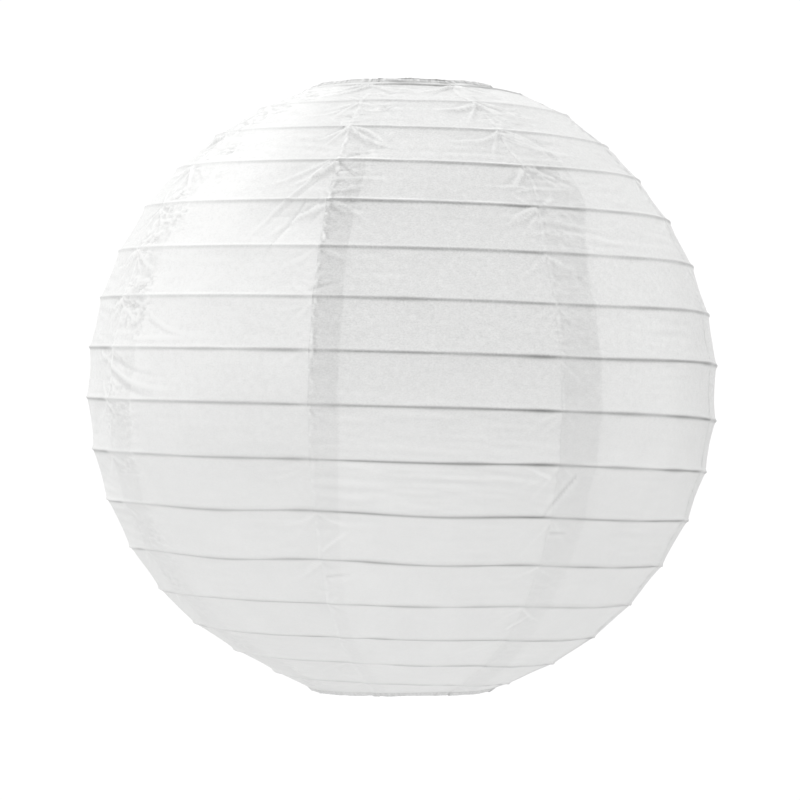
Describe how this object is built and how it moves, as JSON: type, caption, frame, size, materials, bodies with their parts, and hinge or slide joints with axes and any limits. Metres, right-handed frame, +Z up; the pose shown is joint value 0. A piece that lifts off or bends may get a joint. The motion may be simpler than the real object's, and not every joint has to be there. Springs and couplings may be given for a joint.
{
  "type": "paper lantern",
  "caption": "Round hanging lantern of white paper gores on a spiral wire rib, with a wire ring in each opening and a bent wire expander that folds away.",
  "frame": {"origin": "underside of the crown of the expander's hanging loop, where the hook or cord bears, on the lantern's axis", "axes": "+Z up along the lantern's axis; the expander lies in the XZ plane; the side seen in the picture faces -Y"},
  "size_m": [0.2994, 0.2994, 0.2881],
  "materials": {
    "paper": "matt, translucent",
    "wire": "drawn, bright"
  },
  "bodies": {
    "shade": {"gore_1": "paper", "gore_2": "paper", "gore_3": "paper", "gore_4": "paper", "gore_5": "paper", "gore_6": "paper", "gore_7": "paper", "gore_8": "paper", "spiral_rib": "wire", "top_ring": "wire", "expander": "wire"},
    "lower_hoop": {"bottom_ring": "wire"}
  },
  "joints": [
    {"name": "fold_flat", "type": "slide", "parent": "shade", "child": "lower_hoop", "axis": [0, 0, 1], "range_m": [0, 0.264], "deforming": ["gore_1", "gore_2", "gore_3", "gore_4", "gore_5", "gore_6", "gore_7", "gore_8", "spiral_rib"]}
  ]
}
